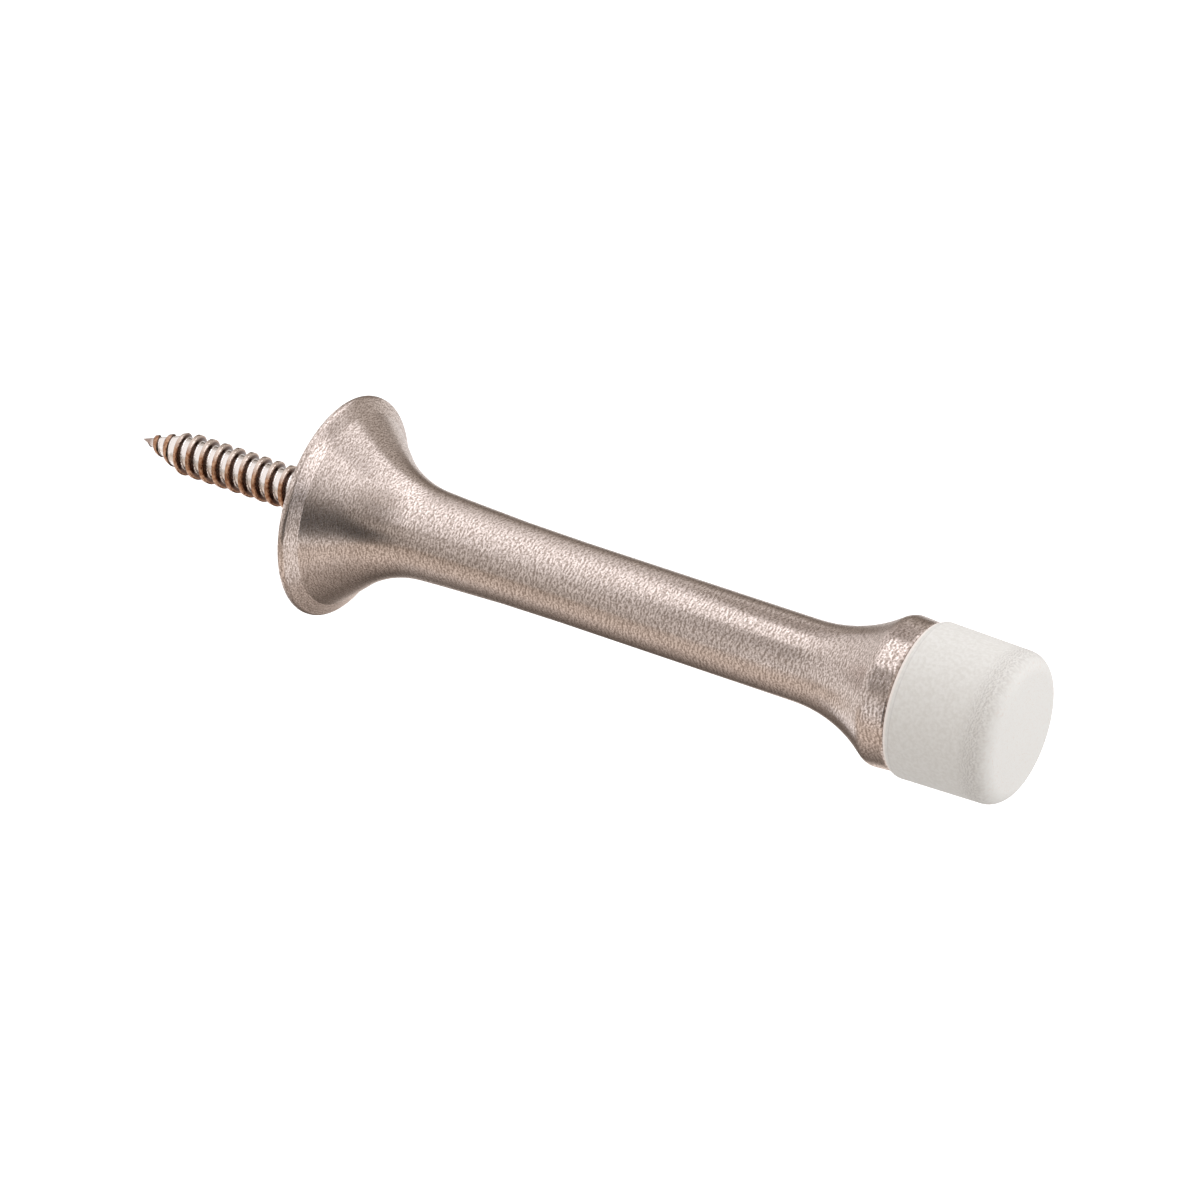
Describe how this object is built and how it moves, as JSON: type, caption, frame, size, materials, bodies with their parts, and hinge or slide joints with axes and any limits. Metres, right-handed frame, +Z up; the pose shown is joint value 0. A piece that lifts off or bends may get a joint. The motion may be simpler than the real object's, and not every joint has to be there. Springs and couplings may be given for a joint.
{
  "type": "wall door stop",
  "caption": "Rigid wall door stop: a turned metal post with a flared flange and a belled collar, a wood screw out of the flange and a pale rubber bumper on the tip.",
  "frame": {"origin": "centre of the flange's wall face, on the axis of the post", "axes": "+X out of the wall along the post towards the bumper, +Z up the wall"},
  "size_m": [0.1129, 0.0254, 0.0254],
  "materials": {
    "satin_nickel": "satin nickel plate, brushed round the post",
    "screw_steel": "bright plated steel with brownish flanks",
    "bumper_rubber": "matt off-white moulded rubber"
  },
  "bodies": {
    "root": {"stop_post": "satin_nickel", "mounting_screw": "screw_steel", "rubber_bumper": "bumper_rubber"}
  },
  "joints": []
}
